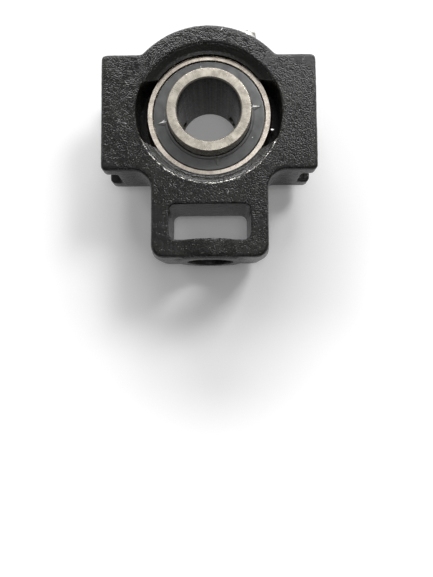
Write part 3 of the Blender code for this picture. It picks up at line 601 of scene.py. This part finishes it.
def seat_cutter():
    """The opening's true form: rounded lip, two steps, ledge and the ground spherical seat."""
    seat = SPHERE + SEAT_CLEARANCE
    seat_top = HALF_BODY - SEAT_DEPTH
    edge = math.degrees(math.asin(seat_top / seat))
    ledge = math.sqrt(seat ** 2 - seat_top ** 2) + LEDGE_WIDTH
    front = [(0, HALF_BODY + 2 * MM), (LIP_RADIUS + 2 * MM, HALF_BODY + 2 * MM)]
    front += [(LIP_RADIUS + LIP_BEVEL, HALF_BODY)]
    front += [(LIP_RADIUS + LIP_BEVEL / 2, HALF_BODY - LIP_DROP / 2)]
    front += arc((LIP_RADIUS, HALF_BODY - LIP_DROP - LIP_ROUND), LIP_ROUND, 80, 175, 4)
    for number in (1, 2):
        radius = LIP_RADIUS - number * STEP_WIDTH
        height = HALF_BODY - number * STEP_DEPTH
        front += [(radius + STEP_SHELF, height), (radius, height - STEP_SHELF / 3)]
    front += [(ledge, seat_top + LEDGE_RISE), (ledge - LEDGE_WIDTH / 2, seat_top + LEDGE_RISE / 2)]
    rear = [(radius, -height) for radius, height in reversed(front)]
    ball = arc((0, 0), seat, edge, -edge, 40)
    shape = spun(front + ball + rear, 300, closed=False)
    cast = [vert for vert in shape.verts if abs(vert.co.z) > seat_top + 0.4 * MM]
    roughen(shape, [vert for vert in cast if vert.co.xy.length > SPHERE])
    return shape


def notch_cutter(side):
    """A loading notch with a slightly rounded mouth."""
    half = NOTCH_WIDTH / 2
    outer = math.asin(half / NOTCH_RADIUS)
    last = math.degrees(outer - NOTCH_CORNER / NOTCH_RADIUS)
    inner_x = SPHERE / 2
    wall_x = NOTCH_RADIUS * math.cos(outer)
    inner_half = half + NOTCH_FLARE * (wall_x - inner_x)
    flare = NOTCH_FLARE * NOTCH_CORNER
    outline = arc((0, 0), NOTCH_RADIUS, -last, last, 28)
    outline += [(wall_x - NOTCH_CORNER, half + flare), (inner_x, inner_half)]
    outline += [(inner_x, -inner_half), (wall_x - NOTCH_CORNER, -half - flare)]
    shape = bmesh.new()
    verts = [shape.verts.new((side * x, y, -NOTCH_FLOOR)) for x, y in outline]
    face = shape.faces.new(verts)
    levels = ((HALF_BODY - 0.7 * MM, 1.0), (HALF_BODY - 0.1 * MM, 1.015), (HALF_BODY + 1.3 * MM, 1.04))
    height = -NOTCH_FLOOR
    faces = [face]
    for level, grow in levels:
        grown = bmesh.ops.extrude_face_region(shape, geom=faces)["geom"]
        if faces != [face]:
            bmesh.ops.delete(shape, geom=faces, context="FACES_ONLY")
        raised = [item for item in grown if isinstance(item, bmesh.types.BMVert)]
        faces = [item for item in grown if isinstance(item, bmesh.types.BMFace)]
        bmesh.ops.translate(shape, vec=(0, 0, level - height), verts=raised)
        bmesh.ops.scale(shape, vec=(grow, grow, 1), verts=raised)
        height = level
    bmesh.ops.recalc_face_normals(shape, faces=shape.faces)
    return shape


def make_casting():
    """The cast blank with its seat, its two loading notches and its grease passage cut."""
    toward_nipple = facing(spoke(90 - NIPPLE_ANGLE))
    passage = rod(GREASE_HOLE, SPHERE - 2 * MM, NIPPLE_PAD - NIPPLE_THREAD, 24, toward_nipple)
    shape = make_blank()
    for cutter in (seat_cutter(), notch_cutter(1), notch_cutter(-1), passage):
        shape = carved(shape, cutter)
        bmesh.ops.remove_doubles(shape, verts=shape.verts, dist=0.0005 * MM)
    new_piece("housing_casting", shape, PAINT, "housing", ["housing"], sharp=40)


# Insert

def race(centre, shoulder, outward, count=16):
    """Points across a ball groove, from low to high."""
    reach = math.degrees(math.acos(abs(shoulder - centre) / GROOVE_RADIUS))
    side = 0 if outward else 180
    turn = 1 if outward else -1
    return arc((centre, 0), GROOVE_RADIUS, side - turn * reach, side + turn * reach, count)


def make_outer_ring():
    """The ring with its spherical outside, ball groove and seal seats, and its locating pin."""
    edge = math.degrees(math.asin((HALF_OUTER - 1.25 * RING_CHAMFER) / SPHERE))
    face = FACE_RADIUS - RING_CHAMFER
    profile = [(face, HALF_OUTER)] + arc((0, 0), SPHERE, edge, -edge, 28) + [(face, -HALF_OUTER)]
    profile += [(LAND_RADIUS + RING_CHAMFER, -HALF_OUTER), (LAND_RADIUS, RING_CHAMFER - HALF_OUTER)]
    profile += [(LAND_RADIUS, -SEAL_FLOOR), (SHOULDER_RADIUS, -SEAL_FLOOR)]
    profile += race(OUTER_RACE - GROOVE_RADIUS, SHOULDER_RADIUS, True)
    profile += [(SHOULDER_RADIUS, SEAL_FLOOR), (LAND_RADIUS, SEAL_FLOOR)]
    profile += [(LAND_RADIUS, HALF_OUTER - RING_CHAMFER), (LAND_RADIUS + RING_CHAMFER, HALF_OUTER)]
    start = SPHERE - PIN_DEPTH
    place = facing(spoke(PIN_ANGLE), (0, 0, PIN_HEIGHT))
    socket = rod(PIN_RADIUS + FIT_GAP / 2, start - FIT_GAP, SPHERE + 2 * MM, 32, place)
    shape = carved(spun(profile), socket)
    new_piece("outer_ring_ground", shape, RING_STEEL, "outer_race", ["outer_ring"])
    pin = rod(PIN_RADIUS, start, SPHERE + PIN_STAND_OUT, 32)
    rims = [edge for edge in pin.edges if abs(edge.verts[0].co.z - edge.verts[1].co.z) < MM]
    bmesh.ops.bevel(pin, geom=rims, offset=PIN_ROUND, segments=4, affect="EDGES", profile=0.5, material=-1)
    new_piece("locating_pin_turned", pin, BALL_STEEL, "outer_race", ["locating_pin"], 40, place)


def make_inner_ring():
    """The ring with its ball groove, chamfered bore and two threaded holes for set screws."""
    out, into = SLEEVE_CHAMFER, BORE_CHAMFER
    profile = [(SLEEVE_RADIUS - out, SHORT_SIDE), (SLEEVE_RADIUS, SHORT_SIDE - out)]
    profile += list(reversed(race(INNER_RACE + GROOVE_RADIUS, SLEEVE_RADIUS, False)))
    profile += [(SLEEVE_RADIUS, out - LONG_SIDE), (SLEEVE_RADIUS - out, -LONG_SIDE)]
    profile += [(BORE_RADIUS + into, -LONG_SIDE), (BORE_RADIUS, into - LONG_SIDE)]
    profile += [(BORE_RADIUS, SHORT_SIDE - into), (BORE_RADIUS + into, SHORT_SIDE)]
    holes = []
    for angle in SCREW_ANGLES:
        hole_radius = SCREW_RADIUS + FIT_GAP
        low, high = BORE_RADIUS - MM, SLEEVE_RADIUS
        beyond = high + SCREW_POINT
        sides = [(0, low)] + stretch(hole_radius, low, high) + [(hole_radius + MM, beyond), (0, beyond)]
        hole = threaded(sides, hole_radius, HOLE_THREAD)
        bmesh.ops.transform(hole, matrix=facing(spoke(angle), (0, 0, SCREW_HEIGHT)), verts=hole.verts)
        holes.append(hole)
    shape = carved(spun(eased(profile, 0.2 * MM)), gathered(holes))
    new_piece("inner_ring_ground", shape, SLEEVE_STEEL, "shaft_sleeve", ["inner_ring"])


def make_set_screw(number, angle):
    """A threaded cup-point screw with a hexagon socket."""
    point = SCREW_POINT
    low, high = point - SCREW_HALF, SCREW_HALF - point / 2
    profile = [(0, 0.7 * point - SCREW_HALF), (SCREW_RADIUS - point, -SCREW_HALF)]
    profile += stretch(SCREW_RADIUS, low, high) + [(SCREW_RADIUS - point / 2, SCREW_HALF), (0, SCREW_HALF)]
    corner = SOCKET_ACROSS / 2 / math.cos(math.radians(30))
    shape = carved(threaded(profile, SCREW_RADIUS, SCREW_THREAD), rod(corner, 0, 2 * SCREW_HALF, 6))
    place = spoke(angle) * SCREW_SEAT + Vector((0, 0, SCREW_HEIGHT))
    new_piece(f"set_screw_{number}_threaded", shape, OXIDE, "shaft_sleeve", [f"set_screw_{number}"],
              30, facing(spoke(angle), place))


def make_slinger(name, turn=None):
    """A pressed ring with a collar, a turned-down rim and raised ridges."""
    inner = SLEEVE_RADIUS + FIT_GAP
    neck = inner + SLINGER_SHEET
    under = SLINGER_TOP - SLINGER_SHEET
    rim = SLINGER_RADIUS
    profile = [(inner, SLINGER_TOP + 0.5 * MM), (inner, SLINGER_FOOT), (neck, SLINGER_FOOT), (neck, under)]
    profile += [(rim - SLINGER_SHEET, under), (rim - SLINGER_SHEET, SLINGER_FOOT), (rim, SLINGER_FOOT)]
    profile += arc((rim - 0.5 * MM, SLINGER_TOP - 0.5 * MM), 0.5 * MM, 0, 90, 6)
    profile += [(neck + 0.4 * MM, SLINGER_TOP), (neck, SLINGER_TOP + 0.25 * MM)]
    profile += [(neck, SLINGER_TOP + 0.5 * MM)]
    ridges = gathered([make_ridge(RIDGE_TURN + 360 * i / RIDGE_COUNT) for i in range(RIDGE_COUNT)])
    shape = carved(spun(profile, 240), ridges, "UNION")
    new_piece(name + "_pressed", shape, SLINGER_FINISH, "shaft_sleeve", [name], 30, turn)


def make_ridge(angle):
    """A pressed wedge from the collar to a point on the slinger's face."""
    start = SLEEVE_RADIUS + FIT_GAP + SLINGER_SHEET / 2
    low = SLINGER_TOP - 0.1 * MM
    shape = bmesh.new()
    corners = [(start, y, low) for y in (-RIDGE_HALF, RIDGE_HALF)]
    corners += [(start, 0, SLINGER_TOP + RIDGE_HEIGHT)]
    corners += [(start + RIDGE_LENGTH, y, low) for y in (-RIDGE_TIP_HALF, RIDGE_TIP_HALF)]
    corners += [(start + 0.9 * RIDGE_LENGTH, 0, SLINGER_TOP + RIDGE_TIP_HEIGHT)]
    verts = [shape.verts.new(corner) for corner in corners]
    bmesh.ops.convex_hull(shape, input=verts)
    bmesh.ops.bevel(shape, geom=shape.edges, offset=0.08 * MM, segments=2, affect="EDGES", profile=0.5,
                    material=-1)
    bmesh.ops.recalc_face_normals(shape, faces=shape.faces)
    bmesh.ops.rotate(shape, matrix=Matrix.Rotation(math.radians(angle), 3, "Z"), verts=shape.verts)
    return shape


def make_seal(name, turn=None):
    """A rubber seal whose thin lip reaches to the inner ring."""
    thick = SEAL_TOP - SEAL_FACE
    outer = LAND_RADIUS - FIT_GAP
    lip = SLEEVE_RADIUS + FIT_GAP
    bead = thick / 6
    profile = [(outer, SEAL_TOP), (outer, SEAL_FACE), (lip + 2 * thick, SEAL_FACE)]
    profile += [(lip + thick / 2, SEAL_FACE + bead), (lip, SEAL_FACE + 2 * bead)]
    profile += [(lip, SEAL_FACE + 4 * bead), (lip + 1.5 * thick, SEAL_TOP - bead)]
    profile += [(outer - thick, SEAL_TOP - bead)]
    shape = spun(eased(profile, 0.1 * MM))
    new_piece(name + "_moulded", shape, RUBBER, "outer_race", [name], 40, turn)


def make_ball(number):
    """One of the balls, in its place between the rings."""
    shape = bmesh.new()
    bmesh.ops.create_uvsphere(shape, u_segments=40, v_segments=24, radius=BALL_RADIUS)
    bmesh.ops.translate(shape, vec=spoke(360 * (number - 1) / BALL_COUNT) * PITCH_RADIUS, verts=shape.verts)
    new_piece(f"ball_{number}_polished", shape, BALL_STEEL, f"rolling_ball_{number}", [f"ball_{number}"],
              60)


def ribbon_height(angle):
    """Height of the cage sheet's inner side, angle in radians: pockets with flats between."""
    pitch = 2 * math.pi / BALL_COUNT
    pocket = BALL_RADIUS + FIT_GAP
    along = abs((angle + pitch / 2) % pitch - pitch / 2) * PITCH_RADIUS
    return max(FIT_GAP / 2, math.sqrt(max(0, pocket ** 2 - along ** 2)))


def rivet_place(number):
    """The middle of a rivet, halfway between two balls."""
    return spoke(360 * (number + 0.5) / BALL_COUNT) * PITCH_RADIUS


def make_cage_half(name, turn=None):
    """A ribbon of sheet, waved round the balls and drilled for the rivets."""
    shape = bmesh.new()
    inner = PITCH_RADIUS - CAGE_WIDTH / 2
    bmesh.ops.create_circle(shape, cap_ends=False, segments=BALL_COUNT * 40, radius=inner)
    grown = bmesh.ops.extrude_edge_only(shape, edges=shape.edges)["geom"]
    outer = [item for item in grown if isinstance(item, bmesh.types.BMVert)]
    scale = (inner + CAGE_WIDTH) / inner
    bmesh.ops.scale(shape, vec=(scale, scale, 1), verts=outer)
    for vert in shape.verts:
        vert.co.z = ribbon_height(math.atan2(vert.co.y, vert.co.x))
    bmesh.ops.recalc_face_normals(shape, faces=shape.faces)
    if sum(face.normal.z for face in shape.faces) < 0:
        bmesh.ops.reverse_faces(shape, faces=shape.faces)
    shape = worked(shape, "SOLIDIFY", thickness=CAGE_SHEET, offset=1, use_even_offset=True)
    places = [Matrix.Translation(rivet_place(i)) for i in range(BALL_COUNT)]
    shape = carved(shape, gathered([rod(RIVET_HOLE, -2 * MM, 2 * MM, 20, place) for place in places]))
    new_piece(name + "_formed", shape, CAGE_STEEL, "cage", [name], 35, turn)


def make_rivet(number):
    """A rivet with a round head on both sides of the cage."""
    low = FIT_GAP / 2 + CAGE_SHEET + 0.1 * MM
    head = arc((0, low - 0.5 * MM), 1.3 * MM, 67, 23, 5)
    profile = [(0, low + 0.8 * MM)] + head + [(RIVET_SHANK, low)]
    profile += [(radius, -height) for radius, height in reversed(profile)]
    shape = spun(profile, 24, closed=False)
    new_piece(f"cage_rivet_{number + 1}_set", shape, CAGE_STEEL, "cage", [f"cage_rivet_{number + 1}"],
              35, Matrix.Translation(rivet_place(number)))


def make_nipple():
    """The grease nipple with its check ball and spring, each modelled upright from the pad's middle."""
    turn = facing(spoke(90 - NIPPLE_ANGLE)) @ Matrix.Translation((0, 0, NIPPLE_PAD))
    profile = [(radius * MM, height * MM) for radius, height in NIPPLE_PROFILE]
    shape = carved(spun(eased(profile, 0.15 * MM), 48), make_hexagon(), "UNION")
    new_piece("grease_nipple_turned", shape, ZINC, "housing", ["grease_nipple"], 30, turn)
    ball = bmesh.new()
    bmesh.ops.create_uvsphere(ball, u_segments=32, v_segments=20, radius=CHECK_BALL_RADIUS)
    bmesh.ops.translate(ball, vec=(0, 0, CHECK_BALL_HEIGHT), verts=ball.verts)
    new_piece("nipple_ball_polished", ball, BALL_STEEL, "nipple_valve", ["nipple_ball"], 60,
              turn)
    new_piece("nipple_spring_coiled", make_coil(), SPRING_WIRE, "housing", ["nipple_spring"],
              50, turn)


def make_coil():
    """The check ball's coil spring, wound about Z."""
    steps = 30 * COIL_TURNS
    start = Matrix.Translation((COIL_RADIUS, 0, COIL_LOW)) @ Matrix.Rotation(math.pi / 2, 4, "X")
    wire = bmesh.new()
    bmesh.ops.create_circle(wire, segments=12, radius=COIL_WIRE / 2, matrix=start)
    bmesh.ops.spin(wire, geom=wire.verts[:] + wire.edges[:], cent=(0, 0, 0), axis=(0, 0, 1), steps=steps,
                   angle=2 * math.pi * COIL_TURNS, dvec=(0, 0, COIL_RISE / steps), use_duplicate=False)
    bmesh.ops.holes_fill(wire, edges=[edge for edge in wire.edges if edge.is_boundary], sides=0)
    bmesh.ops.recalc_face_normals(wire, faces=wire.faces)
    return wire


def make_hexagon():
    """The nipple's hexagon with eased edges, hollow where the turned body fills it."""
    corner = HEXAGON_ACROSS / 2 / math.cos(math.radians(30))
    shape = rod(corner, HEXAGON_LOW, HEXAGON_HIGH, 6)
    bmesh.ops.bevel(shape, geom=shape.edges, offset=0.2 * MM, segments=2, affect="EDGES", profile=0.5,
                    material=-1)
    return carved(shape, rod(3 * MM, 0, 5 * MM, 32))


# Every piece

make_casting()
make_nipple()
make_outer_ring()
make_inner_ring()
for number, angle in enumerate(SCREW_ANGLES, start=1):
    make_set_screw(number, angle)
for end, turn in (("front", None), ("rear", UPSIDE_DOWN)):
    make_slinger("slinger_" + end, turn)
    make_seal("seal_" + end, turn)
    make_cage_half("cage_" + end, turn)
for number in range(BALL_COUNT):
    make_ball(number + 1)
    make_rivet(number)


# Stage, light and camera

def seen_rays(tree):
    """1 for rays from the camera and for those that mirror or pass through to the background."""
    path = put(tree, "ShaderNodeLightPath").outputs
    mirrored = maths(tree, "MAXIMUM", path["Is Glossy Ray"], path["Is Transmission Ray"])
    return maths(tree, "MAXIMUM", path["Is Camera Ray"], mirrored)


def make_floor():
    """A pale floor that keeps the object's shadow and turns white further out."""
    shape = bmesh.new()
    bmesh.ops.create_grid(shape, x_segments=1, y_segments=1, size=6)
    mesh = bpy.data.meshes.new("floor")
    shape.to_mesh(mesh)
    shape.free()
    floor = bpy.data.objects.new("floor", mesh)
    bpy.context.scene.collection.objects.link(floor)
    material, tree, shader = material_tree("pale_floor")
    shader.inputs["Base Color"].default_value = (0.9, 0.9, 0.9, 1)
    shader.inputs["Roughness"].default_value = 0.9
    shader.inputs["Specular IOR Level"].default_value = 0.1
    shader.inputs["Emission Color"].default_value = (1, 1, 1, 1)
    far = vectors(tree, "LENGTH", put(tree, "ShaderNodeTexCoord").outputs["Object"])
    glow = ramp(tree, far, 0.06, 0.3, 0.14, 1.0)
    tree.links.new(maths(tree, "MULTIPLY", seen_rays(tree), glow), shader.inputs["Emission Strength"])
    mesh.materials.append(material)


def add_lamp(name, around, above, size, strength):
    """A window a metre away, by its angle from +X, its height angle, its size and its radiance."""
    data = bpy.data.lights.new(name, "AREA")
    data.shape = "RECTANGLE"
    data.size, data.size_y = size
    data.energy = strength * math.pi * size[0] * size[1]
    lamp = bpy.data.objects.new(name, data)
    bpy.context.scene.collection.objects.link(lamp)
    rise = math.radians(above)
    toward = spoke(around) * math.cos(rise) + Vector((0, 0, math.sin(rise)))
    lamp.location = CENTRE + toward
    lamp.rotation_euler = (-toward).to_track_quat("-Z", "Y").to_euler()


def set_world(seen, cast):
    """A surround, white at the back and dim in front: one strength as seen, another as light."""
    world = bpy.data.worlds.new("studio")
    world.use_nodes = True
    tree = world.node_tree
    sky = tree.nodes["Background"]
    way = put(tree, "ShaderNodeTexCoord").outputs["Generated"]
    lean = vectors(tree, "DOT_PRODUCT", way, (0, 0.8, 0.6))
    shown = put(tree, "ShaderNodeLightPath").outputs["Is Camera Ray"]
    dim = blend(tree, ramp(tree, lean, -0.3, 0.85), (0.16, 0.16, 0.16, 1), (seen, seen, seen, 1))
    tree.links.new(blend(tree, shown, dim, (1, 1, 1, 1)), sky.inputs["Color"])
    tree.links.new(ramp(tree, seen_rays(tree), 0, 1, cast, 1.0), sky.inputs["Strength"])
    bpy.context.scene.world = world


def make_camera():
    """The camera at the photograph's angle."""
    data = bpy.data.cameras.new("camera")
    data.sensor_width = SENSOR
    data.lens = SENSOR * PICTURE_WIDTH / PICTURE_HEIGHT
    data.clip_start = 0.01
    camera = bpy.data.objects.new("camera", data)
    bpy.context.scene.collection.objects.link(camera)
    turn = Matrix.Identity(3)
    for axis, angle in CAMERA_TURNS:
        turn = turn @ Matrix.Rotation(math.radians(angle), 3, axis)
    camera.rotation_mode = "QUATERNION"
    camera.rotation_quaternion = turn.to_quaternion()
    camera.location = CENTRE + CAMERA_PLACE
    bpy.context.scene.camera = camera


make_floor()
set_world(0.55, 0.12)
for lamp in LAMPS:
    add_lamp(*lamp)
make_camera()
bpy.context.scene.view_settings.view_transform = "Standard"
